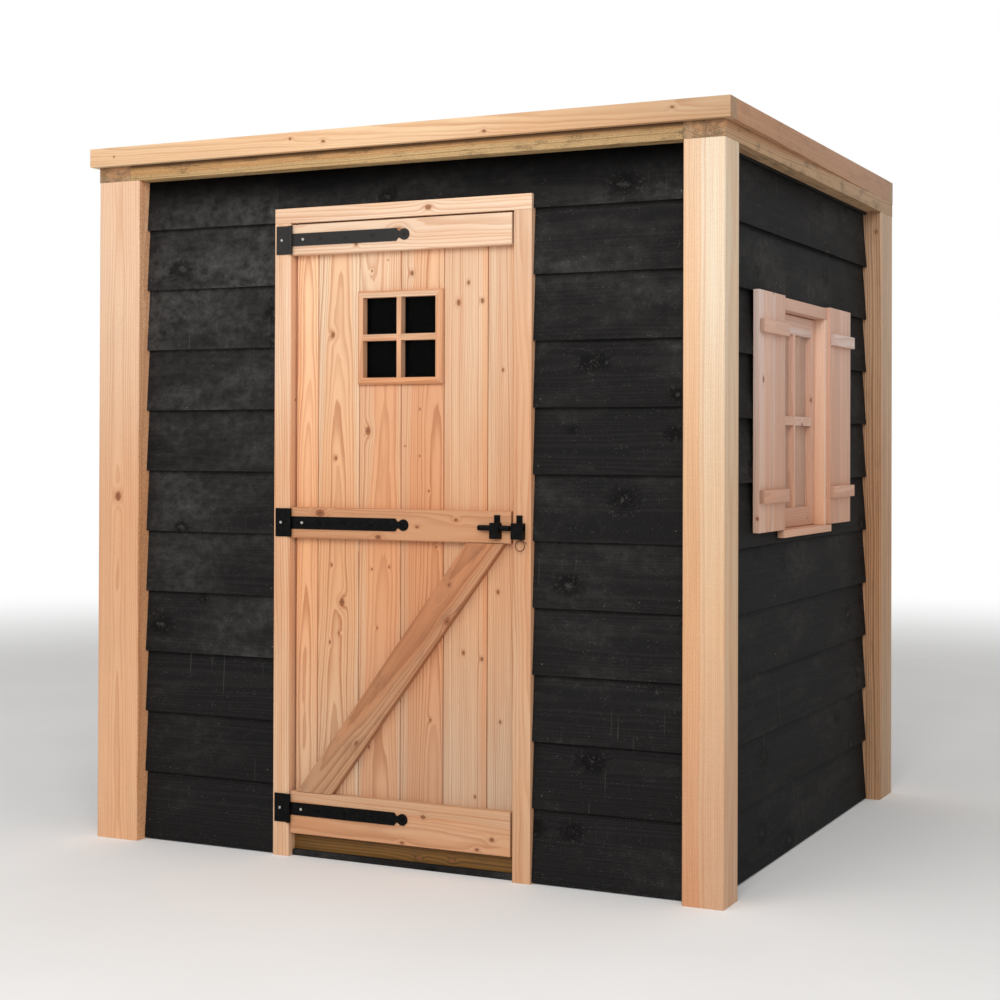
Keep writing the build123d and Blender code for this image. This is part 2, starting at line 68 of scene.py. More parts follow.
# Places read from the frame
shed_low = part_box("post_front_left")[0]
shed_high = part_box("post_rear_right")[1]
leaf_low, leaf_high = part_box("door_boards")
ring_low, ring_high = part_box("ring_beams_front_rear")

# The lapped boards, as in the source of the part
board_setback = 43 * mm
board_lap = 14 * mm
board_inner = 69 * mm
right_wall_inset = 8 * mm
front_laps = (216 * mm, 190 * mm)
side_laps = (211 * mm, 186.2 * mm)
lowest_course = -1

# How finely and how unevenly timber is shaped and nailed
weld_distance = 0.01 * mm
flat_angle = math.radians(1)
edge_angle = math.radians(25)
smooth_angle = math.radians(35)
cut_gap = 0.6 * mm
board_slice = 120 * mm
nail_rise = 27 * mm
nail_inset = 24 * mm
nail_spacing = 640 * mm
nail_radius = 1.7 * mm
nail_jitter = 12 * mm
nails_that_shine = 0.4
butt_wave = 2.6 * mm
butt_bow = 1.2 * mm
wave_rates = (2.3, 7.0)
bow_rates = (1.6, 5.0)
bow_start = 9
beyond_walls = 10
right_butt = 0.334
left_butt = -0.3
butt_course = 8
timber_ease = 1.2 * mm
ease_profile = 0.6
parallel_from = 0.9
plain_segments = 2
moulding_from = 3 * mm
moulding_segments = 4
least_faces = 4

# Widths of boards that the frame holds as one sheet
deck_width = 150 * mm
floor_width = 140 * mm
felt_width = 1000 * mm
felt_ease = 0.8 * mm

# How logs were cut into timber: how far a log's middle lies from the timber's, and how much it leans
pith_near = 45 * mm
pith_far = 120 * mm
pith_lean = 0.016
flat_sawn_from = 2
flat_sawn_turn = 0.6
end_grain_from = 0.7
upright_from = 0.5
grain_shift = 40

# The tone and the knots that timbers get by chance
light_range = (0.94, 1.05)
red_range = (0.3, 0.7)
common_tone = (1.0, None)
chance_knot_count = 3
chance_knot_radii = (2.5 * mm, 8 * mm)
board_knot_counts = (2, 5)
board_knot_millimetres = (5, 15)

# The turn, the distance and the share of lean of the logs of single timbers
known_piths = {
    "post_front_left 0 0": (math.pi, 20 * mm, 0.5),
    "post_front_right 0 0": (-math.pi / 2, 95 * mm, 0.0),
    "door_head 0 0": (0.3, 150 * mm, 1.0),
    "door_jambs 0 0": (0.8, 112 * mm, 1.0),
    "door_boards 0 0": (math.pi, 60 * mm, 1.0),
    "door_boards 6 0": (1.3, 150 * mm, 1.0),
    "door_boards 7 0": (1.3, 140 * mm, 1.0),
}

# What each corner of a mesh knows about the knots of its timber
knot_layers = tuple(f"knot_{number}" for number in range(1, 7))
size_layers = ("knot_sizes_1", "knot_sizes_2")
far_away = Vector((1000, 1000, 1000))
no_knot = (far_away, mm)


def srgb(red, green, blue):
    """A colour as screens name it, 0 to 255, made linear."""
    linear = [((c / 255 + 0.055) / 1.055) ** 2.4 if c > 10 else c / 255 / 12.92 for c in (red, green, blue)]
    return (*linear, 1.0)


# Node graphs, written as sums

def joining(operation, swapped=False):
    """A method that joins a field and another value by a node."""
    def method(field, other):
        return field.graph.math(operation, *((other, field) if swapped else (field, other)))
    return method


class Field:
    """A value that varies over a surface, so that node graphs read as plain sums."""

    def __init__(self, graph, socket):
        self.graph = graph
        self.socket = socket

    __add__ = __radd__ = joining("ADD")
    __sub__ = joining("SUBTRACT")
    __rsub__ = joining("SUBTRACT", swapped=True)
    __mul__ = __rmul__ = joining("MULTIPLY")
    __truediv__ = joining("DIVIDE")


class Graph:
    """The node tree of one material, or of the world."""

    def __init__(self, name, owners=bpy.data.materials):
        self.owner = owners.new(name)
        self.owner.use_nodes = True
        self.tree = self.owner.node_tree
        self.tree.nodes.clear()

    def put(self, socket, value):
        """Link a field to a socket, or set a plain value on it."""
        if isinstance(value, Field):
            self.tree.links.new(value.socket, socket)
        else:
            socket.default_value = value

    def node(self, kind, inputs, **settings):
        """Add a node with its settings and inputs."""
        node = self.tree.nodes.new(f"ShaderNode{kind}")
        for key, value in settings.items():
            setattr(node, key, value)
        for key, value in inputs.items():
            self.put(node.inputs[key], value)
        return node

    def field(self, kind, inputs, output=0, **settings):
        """What a new node gives."""
        return Field(self, self.node(kind, inputs, **settings).outputs[output])

    def math(self, operation, a, b=0.0):
        return self.field("Math", {0: a, 1: b}, operation=operation)

    def vector(self, operation, a, b):
        return self.field("VectorMath", {0: a, 1: b}, operation=operation)

    def length(self, vector):
        return self.field("VectorMath", {0: vector}, "Value", operation="LENGTH")

    def shaded(self, colour, value):
        """A colour made lighter or darker by a value."""
        return self.field("VectorMath", {0: colour, "Scale": value}, operation="SCALE")

    def attribute(self, name):
        return self.field("Attribute", {}, "Vector", attribute_name=name)

    def place(self):
        """The place in the piece's own frame."""
        return self.field("TexCoord", {}, "Object")

    def parts(self, vector):
        node = self.node("SeparateXYZ", {0: vector})
        return [Field(self, output) for output in node.outputs]

    def joined(self, x, y, z):
        return self.field("CombineXYZ", {0: x, 1: y, 2: z})

    def noise(self, vector, scale, detail=2.0, rough=0.5, stretch=(1, 1, 1)):
        """Cloudy noise from 0 to 1, drawn out where stretch is below one."""
        drawn = self.vector("MULTIPLY", vector, stretch)
        return self.field("TexNoise", {"Vector": drawn, "Scale": scale, "Detail": detail,
                                                 "Roughness": rough})

    def wander(self, value, scale):
        """Smooth noise along one value."""
        return self.field("TexNoise", {"W": value, "Scale": scale, "Detail": 1.0},
                          noise_dimensions="1D")

    def chance(self, value):
        """A random number for each whole number."""
        return self.field("TexWhiteNoise", {"W": value}, noise_dimensions="1D")

    def step(self, value, low, high):
        """A soft step from 0 to 1 between two values."""
        return self.field("MapRange", {"Value": value, "From Min": low, "From Max": high},
                          interpolation_type="SMOOTHSTEP")

    def mix(self, share, a, b):
        return self.field("Mix", {0: share, 6: a, 7: b}, 2, data_type="RGBA")

    def finish(self, colour, roughness, height, **constants):
        """Close the graph with a surface, its relief in metres and its constant values."""
        relief = self.field("Bump", {"Strength": 1.0, "Distance": 1.0, "Height": height})
        inputs = {"Base Color": colour, "Roughness": roughness, "Normal": relief}
        for key, value in constants.items():
            inputs[key.replace("_", " ")] = value
        surface = self.field("BsdfPrincipled", inputs)
        self.node("OutputMaterial", {"Surface": surface})
        return self.owner


# Materials

# Painted light by height: timber is painted warmest and darker half way up and paler under the roof, as if
# lit from above, and has a tint of its own near the ground
foot_height = 0.2
waist_height = 0.9
crown_height = 1.85
common_foot = (0.84, 0.81, 0.79, 1.0)
waist_painted_shade = (0.84, 0.73, 0.66, 1.0)
crown_painted_light = (0.95, 0.99, 1.07, 1.0)

# Painted shade darkens timber towards the right end of the front, and a rough side is browner
right_shade_end = 1.3
rough_pale = (1.22, 1.10, 0.95, 1.0)
rough_dark = (0.84, 0.70, 0.60, 1.0)
rough_from = 1.3 * mm
rough_to = 0.3 * mm

# A painted shadow darkens the front boards under the eaves, and grime with a painted shadow of the fascia
# lies along the top of the ring beams
eave_shadow_depth = 150 * mm
eave_shadow_gap = 20 * mm
front_wall_depth = 90 * mm
soiling_and_shade_depth = 18 * mm
soiling_and_shade_gap = 5 * mm

# The middle of a log is redder than the wood under its bark
sap_from = 102 * mm
sap_blend = 5 * mm
heart_tint = (0.99, 0.94, 0.90, 1.0)
sap_tint = (1.0, 1.11, 1.2, 1.0)

# How far rings wander, and from where a knot is so large that it is pale
slow_wander = 14 * mm
quick_wander = 2.2 * mm
pale_knot_from = 10 * mm
pale_knot_to = 12 * mm

# How deep the relief of each surface is
fibre_relief = 0.12 * mm
ring_relief = 0.08 * mm
fuzz_relief = 0.9 * mm
saw_relief = 0.35 * mm
grit_relief = 0.4 * mm
rough_relief = 0.8 * mm
worn_ring_relief = 0.3 * mm
chip_relief = 0.7 * mm
dent_relief = 0.5 * mm
coat_relief = 0.05 * mm
pane_relief = 0.1 * mm
felt_relief = 2 * mm

# The distance between rings in each kind of timber
common_ring_gap = 4.6 * mm
post_ring_gap = 6 * mm
black_ring_gap = 7 * mm
rear_ring_gap = 9 * mm

# Where the painted sheen on ironwork high up begins, and where it is full
iron_sheen_from = 1.3
iron_sheen_to = 1.8


def knots_near(graph, grain):
    """How far knots push the grain aside, and the distance to the nearest one in its own radii."""
    bend = 0.0
    nearest = None
    sizes = [size for layer in size_layers for size in graph.parts(graph.attribute(layer))]
    for layer, size in zip(knot_layers, sizes):
        offset = graph.vector("SUBTRACT", grain, graph.attribute(layer))
        reach = graph.length(graph.vector("MULTIPLY", offset, (0.7, 1, 1))) / size
        bend = bend + graph.math("POWER", math.exp(-0.22), reach * reach) * size * 0.9
        nearest = reach if nearest is None else graph.math("MINIMUM", nearest, reach)
    return bend, nearest


def ring_lines(graph, grain, ring_gap, bend):
    """The dark late wood of each year's ring, from 0 to 1, and the distance from the log's middle."""
    _, v, w = graph.parts(grain)
    slow = graph.noise(grain, 14, detail=1.0, stretch=(0.16, 1, 1))
    quick = graph.noise(grain, 70, stretch=(0.12, 1, 1))
    reach = graph.length(graph.joined(0, v, w)) + bend
    reach = reach + (slow - 0.5) * slow_wander + (quick - 0.5) * quick_wander
    turns = reach / ring_gap + graph.wander(reach, 70) * 1.6
    year = graph.math("FLOOR", turns)
    season = graph.math("FRACT", turns)
    late = graph.step(season, 0.25, 0.9) * graph.step(season, 1.0, 0.92)
    return late * (graph.chance(year) * 0.6 + 0.4), reach


def clean_wood(graph, grain, red, late, reach, colours, lines):
    """The colour of wood before knots and weather, and how light its broad streaks are."""
    pale, deep, line = colours
    broad = graph.noise(grain, 7, stretch=(0.22, 1, 1))
    band = graph.noise(grain, 42, rough=0.55, stretch=(0.035, 1, 1))
    colour = graph.mix(graph.step(broad * 0.55 + band * 0.45 + red - 0.5, 0.3, 0.7), pale, deep)
    sap = graph.mix(graph.step(reach, sap_from, sap_from + sap_blend), heart_tint, sap_tint)
    colour = graph.vector("MULTIPLY", colour, sap)
    return graph.mix(late * lines * (0.45 + 1.1 * band), colour, line), broad


def knotty(graph, colour, grain, bend, nearest, colours):
    """A colour with the halo, the rings and the dark heart of each knot laid over it."""
    _, deep, line = colours
    ragged = nearest + (graph.noise(grain, 260) - 0.5) * 0.5
    colour = graph.mix(graph.step(ragged, 2.6, 0.9) * 0.35, colour, line)
    knot_ring = graph.step(graph.math("SINE", ragged * 17), -0.4, 0.9)
    brown = graph.mix(knot_ring, srgb(124, 72, 42), srgb(176, 112, 70))
    brown = graph.mix(graph.step(ragged, 0.32, 0.14), brown, srgb(62, 34, 18))
    brown = graph.mix(graph.step(bend, pale_knot_from, pale_knot_to) * 0.8, brown, deep)
    return graph.mix(graph.step(ragged, 1.08, 0.86) * 0.85, colour, brown)


def rough_tint(graph, grain, across, rough_side):
    """The tint of a side that was left rough from the saw, and none elsewhere."""
    torn = graph.noise(grain, 420, rough=0.7, stretch=(0.5, 1, 1))
    tint = graph.mix(graph.step(torn, 0.4, 0.6), rough_pale, rough_dark)
    side = graph.step(across, rough_side - rough_from, rough_side - rough_to)
    return graph.mix(side, (1, 1, 1, 1), tint)


def mouldy(graph, colour, grain, end, mould):
    """A colour under patches of dark mould, of which end grain has more."""
    cloud = graph.noise(grain, 30, detail=5.0, rough=0.65, stretch=(0.3, 1, 1))
    specks = graph.noise(grain, 420, detail=3.0, rough=0.7, stretch=(0.5, 1, 1))
    patch = graph.step(cloud + end * 0.1, 0.5, 0.66) * graph.step(specks, 0.36, 0.62)
    return graph.mix(patch * mould, colour, srgb(66, 56, 38))


def wood(name, *colours, ring_gap=common_ring_gap, lines=0.75, roughness=0.62, sawn=0.0, mould=0.0,
         foot=common_foot, soiling_and_shade=0.0, right_shade=0.0, rough_side=None):
    """Softwood whose rings, fibres and knots run through each timber along its own grain.

    Its colours are those of pale wood, of deep wood and of ring lines. Grime and a painted shadow of the
    fascia lie along the top of the ring beams, painted shade darkens timber towards the right end of the
    front, and rough_side is the x of a rough side.
    """
    colours = [srgb(*colour) for colour in colours]
    graph = Graph(name)
    grain = graph.attribute("grain")
    light, red, end = graph.parts(graph.attribute("tone"))
    bend, nearest = knots_near(graph, grain)
    late, reach = ring_lines(graph, grain, ring_gap, bend)
    colour, broad = clean_wood(graph, grain, red, late, reach, colours, lines)
    colour = knotty(graph, colour, grain, bend, nearest, colours)
    fibre = graph.noise(grain, 520, detail=3.0, rough=0.6, stretch=(0.012, 1, 1))
    fleck = graph.step(graph.noise(grain, 800, detail=1.0, stretch=(0.05, 1, 1)), 0.68, 0.78)
    value = light * (0.88 + 0.24 * broad) * (0.86 + 0.28 * fibre) * (1.0 - fleck * 0.16) * (1.0 - end * 0.2)
    height = fibre * fibre_relief + late * ring_relief
    if sawn:
        fuzz = graph.noise(grain, 620, detail=4.0, rough=0.7, stretch=(0.4, 1, 1))
        marks = graph.noise(grain, 240, detail=1.0, stretch=(1, 0.05, 0.05))
        value = value * (1.0 - sawn * 0.5 * graph.step(fuzz, 0.42, 0.68)) * (1.0 - sawn * 0.16 * marks)
        height = height + fuzz * (fuzz_relief * sawn) + marks * (saw_relief * sawn)
    colour = graph.shaded(colour, value)
    across, _, rise = graph.parts(graph.place())
    # Painted shade: timber is darker towards the right end of the front
    if right_shade:
        colour = graph.shaded(colour, 1.0 - graph.step(across, 0.0, right_shade_end) * right_shade)
    if rough_side is not None:
        colour = graph.vector("MULTIPLY", colour, rough_tint(graph, grain, across, rough_side))
    # Painted light by height: paler at the crown, darker and warmer half way up, the foot's own tint near the
    # ground
    tint = graph.mix(graph.step(rise, foot_height, waist_height), foot, waist_painted_shade)
    tint = graph.mix(graph.step(rise, waist_height, crown_height), tint, crown_painted_light)
    colour = graph.vector("MULTIPLY", colour, tint)
    if mould:
        colour = mouldy(graph, colour, grain, end, mould)
    # Grime and a painted shadow of the fascia along the top of the ring beams
    if soiling_and_shade:
        soiling_and_shade_mask = graph.step(rise, ring_high.z - soiling_and_shade_depth, ring_high.z - soiling_and_shade_gap)
        colour = graph.mix(soiling_and_shade_mask * soiling_and_shade, colour, srgb(70, 44, 22))
    return graph.finish(colour, (fibre - 0.5) * 0.2 + roughness, height, Specular_IOR_Level=0.3)


def black_boards():
    """Sawn boards with a worn near-black stain, dusty in patches and scratched here and there.

    On the upper front boards the patches are partly painted sheen, and a painted shadow darkens the front
    boards under the eaves.
    """
    graph = Graph("black stained boards")
    grain = graph.attribute("grain")
    light, dust, _ = graph.parts(graph.attribute("tone"))
    bend, nearest = knots_near(graph, grain)
    late, _ = ring_lines(graph, grain, black_ring_gap, bend)
    cloud = graph.noise(grain, 6, detail=7.0, rough=0.6, stretch=(0.35, 1, 1))
    wash = graph.noise(grain, 38, detail=6.0, rough=0.68, stretch=(0.8, 1, 1))
    grit = graph.noise(grain, 900, rough=0.6, stretch=(0.6, 1, 1))
    rough = graph.noise(grain, 95, detail=3.0, rough=0.65)
    line = graph.noise(grain, 150, detail=1.0, stretch=(1, 0.02, 0.02))
    patch = graph.noise(grain, 5)
    # Dust patches; on the upper front boards more of them stand in for painted sheen
    dusty = graph.step(cloud + (dust - 0.5) * 0.3, 0.34, 0.8) * graph.step(wash, 0.2, 0.8)
    colour = graph.mix(dusty, srgb(28, 27, 27), srgb(80, 78, 76))
    colour = graph.mix(late * 0.2, colour, srgb(58, 56, 54))
    scratch = graph.step(line, 0.7, 0.76) * graph.step(patch, 0.54, 0.64)
    colour = graph.mix(scratch * 0.3, colour, srgb(100, 97, 94))
    ragged = nearest + (rough - 0.5) * 3.4
    colour = graph.mix(graph.step(ragged, 3.6, 1.2) * 0.7, colour, srgb(12, 11, 11))
    knot = graph.step(ragged, 0.9, 0.55)
    colour = graph.mix(knot * 0.55, colour, srgb(68, 66, 63))
    chip = graph.step(rough, 0.6, 0.67) * graph.step(nearest, 5.0, 2.0)
    colour = graph.mix(chip * 0.45, colour, srgb(76, 74, 71))
    speck = graph.step(graph.noise(grain, 300, detail=1.0), 0.67, 0.74) * graph.step(wash, 0.4, 0.65)
    colour = graph.mix(speck * 0.45, colour, srgb(126, 123, 120))
    _, depth, rise = graph.parts(graph.place())
    # Painted shadow: the front boards are darker just under the eaves
    eave_shadow = graph.step(rise, ring_low.z - eave_shadow_depth, ring_low.z - eave_shadow_gap)
    eave_shadow = eave_shadow * graph.step(depth, shed_low.y + front_wall_depth, shed_low.y + board_inner)
    # light holds each board's own tone and the painted light or shade of the side its wall faces
    colour = graph.shaded(colour, light * (0.75 + 0.5 * grit) * (1.0 - eave_shadow * 0.92))
    height = grit * grit_relief + rough * rough_relief - late * worn_ring_relief + (knot + chip) * chip_relief
    return graph.finish(colour, (grit - 0.5) * 0.25 + 0.65, height, Specular_IOR_Level=0.04)


def black_iron():
    """Coated ironwork with a faint hammered surface and a painted grey sheen on the parts high up."""
    graph = Graph("black ironwork")
    place = graph.place()
    dents = graph.noise(place, 90)
    grains = graph.noise(place, 1500, detail=1.0)
    colour = graph.mix(graph.step(dents, 0.45, 0.75), srgb(5, 5, 5), srgb(16, 15, 15))
    # Painted sheen: ironwork high up turns grey
    rise = graph.step(graph.parts(place)[2], iron_sheen_from, iron_sheen_to)
    colour = graph.mix(rise * (0.7 + 0.3 * dents), colour, srgb(54, 52, 51))
    height = dents * dent_relief + grains * coat_relief
    return graph.finish(colour, (dents - 0.5) * 0.3 + 0.42, height, Specular_IOR_Level=0.08)


def bare_metal(name, bright, dull, roughness):
    """Plain or zinc-plated steel, dulled in patches."""
    graph = Graph(name)
    patch = graph.noise(graph.place(), 400, detail=3.0)
    colour = graph.mix(graph.step(patch, 0.4, 0.7), bright, dull)
    return graph.finish(colour, (patch - 0.5) * 0.3 + roughness, patch * coat_relief, Metallic=1.0)


def pane(name, tint, film, film_share, through, shine, bending):
    """Window glass with a thin film of dust."""
    graph = Graph(name)
    smears = graph.noise(graph.place(), 26, detail=4.0, rough=0.6, stretch=(1, 1, 0.4))
    colour = graph.mix(graph.step(smears, 0.4, 0.8) * film_share, tint, film)
    return graph.finish(colour, smears * 0.12 + 0.02, smears * pane_relief,
                        Transmission_Weight=through, IOR=bending, Specular_IOR_Level=shine)


def roof_felt():
    """Dark roofing membrane with a fine grit and paler dust in the hollows."""
    graph = Graph("roof membrane")
    place = graph.place()
    grit = graph.noise(place, 900)
    cloud = graph.noise(place, 3, detail=5.0, rough=0.6)
    colour = graph.mix(graph.step(cloud, 0.35, 0.75), srgb(44, 44, 46), srgb(74, 73, 71))
    colour = graph.shaded(colour, 0.7 + 0.6 * grit)
    return graph.finish(colour, 0.8 + (grit - 0.5) * 0.2, grit * grit_relief + cloud * felt_relief)


post_wood = wood("post timber", (242, 204, 168), (230, 182, 142), (208, 152, 110),
                 ring_gap=post_ring_gap, lines=0.6, sawn=0.2, foot=(0.93, 0.83, 0.76, 1.0),
                 rough_side=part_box("post_front_left")[1].x)
near_wood = wood("near post timber", (239, 208, 172), (231, 189, 147), (212, 160, 116),
                 ring_gap=post_ring_gap, lines=0.5, sawn=0.3, foot=(0.77, 0.62, 0.57, 1.0))
# Painted shade towards the right end of the front; grime and a painted fascia shadow on the ring's top
fascia_wood = wood("fascia timber", (240, 206, 163), (226, 180, 134), (198, 144, 96), lines=0.6,
                   right_shade=0.42)
ring_wood = wood("ring beam timber", (214, 167, 110), (190, 142, 88), (142, 98, 56),
                 sawn=0.8, mould=0.8, roughness=0.75, soiling_and_shade=0.85, right_shade=0.25)
# Painted shade: a darker copy of the fascia timber for the side fascias
painted_shade_side_wood = wood("side timber", (200, 152, 114), (176, 126, 90), (140, 94, 62), lines=0.7,
                  sawn=0.35, mould=0.3)
side_ring_wood = wood("side ring timber", (214, 164, 116), (192, 142, 96), (148, 102, 64),
                      sawn=0.5, mould=0.8)
rear_wood = wood("rear post timber", (214, 172, 134), (188, 142, 104), (136, 96, 62),
                 ring_gap=rear_ring_gap, lines=0.85, sawn=0.25, mould=0.2)
inner_wood = wood("inner timber", (216, 176, 130), (198, 154, 108), (164, 116, 74), sawn=0.5)
door_wood = wood("door boards", (240, 196, 154), (226, 172, 130), (192, 130, 88), lines=0.9,
                 foot=(0.74, 0.79, 0.87, 1.0))
ledge_wood = wood("door ledges", (240, 198, 160), (224, 166, 122), (198, 138, 96), lines=0.7)
brace_wood = wood("door brace", (206, 152, 112), (188, 132, 94), (152, 98, 64), lines=0.85,
                  mould=0.35)
bead_wood = wood("glazing beads", (232, 180, 138), (216, 158, 114), (184, 124, 82), lines=0.7)
sill_wood = wood("threshold timber", (134, 98, 46), (106, 76, 32), (76, 52, 20), mould=0.5)
# Painted light: a paler copy of the window timber for the reveals of the window jambs
painted_light_reveal = wood("reveal timber", (252, 222, 198), (248, 212, 184), (228, 178, 142), lines=0.7)
window_wood = wood("window timber", (232, 196, 174), (222, 180, 156), (200, 154, 128), lines=0.6)
boards_black = black_boards()
iron = black_iron()
zinc = bare_metal("zinc screws", srgb(214, 212, 206), srgb(160, 156, 148), 0.35)
dull_zinc = bare_metal("dull nails", srgb(130, 128, 124), srgb(84, 82, 80), 0.55)
wire = bare_metal("bare wire", srgb(120, 84, 58), srgb(72, 48, 34), 0.45)
felt = roof_felt()
door_glass = pane("door glass", srgb(84, 86, 86), srgb(96, 96, 96), 0.4, 0.98, 0.01, 1.08)
side_glass = pane("side glass", srgb(226, 192, 172), srgb(240, 212, 194), 0.7, 0.5, 0.4, 1.45)


# Shaping timber

def extent(solid):
    """The lowest and highest corner of a solid."""
    low = Vector([min(v.co[i] for v in solid.verts) for i in range(3)])
    high = Vector([max(v.co[i] for v in solid.verts) for i in range(3)])
    return low, high


def solids_of(node):
    """The solids of a CAD node, each welded and with its flat faces whole."""
    whole = bmesh.new()
    whole.from_mesh(nodes[node].data)
    bmesh.ops.remove_doubles(whole, verts=whole.verts, dist=weld_distance)
    bmesh.ops.dissolve_limit(whole, angle_limit=flat_angle, verts=whole.verts, edges=whole.edges)
    home = {}
    for number, start in enumerate(whole.verts):
        waiting = [start]
        while waiting:
            vert = waiting.pop()
            if vert not in home:
                home[vert] = number
                waiting.extend(edge.other_vert(vert) for edge in vert.link_edges)
    numbers = [home[vert] for vert in whole.verts]
    solids = []
    for number in sorted(set(numbers)):
        solid = whole.copy()
        strangers = [vert for vert, own in zip(solid.verts, numbers) if own != number]
        bmesh.ops.delete(solid, geom=strangers, context="VERTS")
        solids.append(solid)
    return solids


def below(axis, value):
    """The half space under a value on an axis, as a place and an outward direction."""
    return Vector([value if i == axis else 0 for i in range(3)]), Vector([i == axis for i in range(3)])


def above(axis, value):
    """The half space over a value on an axis."""
    place, outward = below(axis, value)
    return place, -outward


def cut(solid, half_spaces):
    """What is left of a solid inside some half spaces, closed where it was cut."""
    piece = solid.copy()
    for place, outward in half_spaces:
        geometry = piece.verts[:] + piece.edges[:] + piece.faces[:]
        bmesh.ops.bisect_plane(piece, geom=geometry, plane_co=place, plane_no=outward, clear_outer=True)
        open_edges = [edge for edge in piece.edges if edge.is_boundary]
        bmesh.ops.holes_fill(piece, edges=open_edges, sides=0)
    return piece


def eased(solid, amount, along=None):
    """Round the sharp edges of a timber, or only those that run along a direction."""
    edges = []
    for edge in solid.edges:
        if len(edge.link_faces) == 2 and edge.calc_face_angle() > edge_angle:
            way = (edge.verts[1].co - edge.verts[0].co).normalized()
            if along is None or abs(way.dot(along)) > parallel_from:
                edges.append(edge)
    segments = moulding_segments if amount > moulding_from else plain_segments
    bmesh.ops.bevel(solid, geom=edges, offset=amount, segments=segments, profile=ease_profile,
                    affect="EDGES", clamp_overlap=True)
    return solid


class Pile:
    """Timbers that share one mesh, each with its own grain, tone and knots."""

    def __init__(self):
        self.points = []
        self.faces = []
        self.layers = {name: [] for name in ("grain", "tone") + size_layers + knot_layers}

    def add(self, solid, seed, along=None, reference=None, knots=None, light=1.0, red=None):
        """Take over one timber. Its grain follows its longest side unless a direction is given.

        Without a list of knots it gets some by chance.
        """
        low, high = reference or extent(solid)
        size = high - low
        longest = max(range(3), key=lambda i: size[i])
        along = along or Vector([i == longest for i in range(3)])
        side = Vector((0, 0, 1)) if abs(along.z) < upright_from else Vector((1, 0, 0))
        across = along.cross(side).normalized()
        side = across.cross(along)
        draw = random.Random(seed)
        turn = draw.uniform(0, math.tau)
        widths = [abs(size.dot(across)), abs(size.dot(side))]
        if max(widths) > flat_sawn_from * min(widths):
            turn = draw.choice((-1, 1)) * math.pi / 2 + draw.uniform(-flat_sawn_turn, flat_sawn_turn)
            turn += math.pi / 2 if widths[0] < widths[1] else 0
        away = draw.uniform(pith_near, pith_far)
        lean = [draw.uniform(-pith_lean, pith_lean) for _ in range(2)]
        turn, away, lean_share = known_piths.get(seed, (turn, away, 1.0))
        shift = draw.uniform(0, grain_shift)
        middle = (low + high) / 2

        def in_grain(place):
            offset = place - middle
            run = offset.dot(along)
            leaning = run * lean_share
            return Vector((run + shift, offset.dot(across) - away * math.cos(turn) - lean[0] * leaning,
                           offset.dot(side) - away * math.sin(turn) - lean[1] * leaning))

        light *= draw.uniform(*light_range)
        chance = draw.uniform(*red_range)
        red = chance if red is None else red
        if knots is None:
            knots = chance_knots(draw, low, high, longest)
        chosen = [(in_grain(Vector(place)), radius) for place, radius in knots][:len(knot_layers)]
        chosen += [no_knot] * (len(knot_layers) - len(chosen))
        values = {name: place for name, (place, _) in zip(knot_layers, chosen)}
        for name, three in zip(size_layers, (chosen[:3], chosen[3:])):
            values[name] = [radius for _, radius in three]
        start = len(self.points)
        solid.verts.index_update()
        solid.normal_update()
        for vert in solid.verts:
            self.layers["tone"].append((light, red, abs(vert.normal.dot(along)) > end_grain_from))
            self.points.append(vert.co.copy())
            self.layers["grain"].append(in_grain(vert.co))
            for name, value in values.items():
                self.layers[name].append(value)
        self.faces += [[start + vert.index for vert in face.verts] for face in solid.faces]
        solid.free()

    def finish(self, name, material, replaced):
        """Make the mesh, in the place of some CAD nodes and on their body."""
        mesh = bpy.data.meshes.new(name)
        mesh.from_pydata(self.points, [], self.faces)
        for layer, values in self.layers.items():
            attribute = mesh.attributes.new(layer, "FLOAT_VECTOR", "POINT")
            attribute.data.foreach_set("vector", [number for value in values for number in value])
        piece = add_piece(name, mesh, material, nodes[replaced[0]]["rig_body"], slot_of[replaced[0]])
        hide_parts(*replaced)
        return piece


def chance_knots(draw, low, high, longest):
    """Some small knots on the faces of a timber."""
    knots = []
    for _ in range(draw.randint(0, chance_knot_count)):
        place = [draw.uniform(low[i], high[i]) for i in range(3)]
        face = draw.choice([i for i in range(3) if i != longest])
        place[face] = draw.choice((low[face], high[face]))
        knots.append((place, draw.uniform(*chance_knot_radii)))
    return knots


def add_object(name, data):
    """A new object in the scene."""
    added = bpy.data.objects.new(name, data)
    bpy.context.scene.collection.objects.link(added)
    return added


def add_piece(name, mesh, material, body, slot):
    """An object for a mesh, riding on a body, with a finish."""
    mesh.materials.append(material)
    mesh.shade_smooth()
    mesh.set_sharp_from_angle(angle=smooth_angle)
    piece = add_object(name, mesh)
    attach(piece, body)
    return piece


def longest_edge(solid):
    """The direction of a timber's longest edge."""
    edge = max(solid.edges, key=lambda edge: edge.calc_length())
    return (edge.verts[1].co - edge.verts[0].co).normalized()


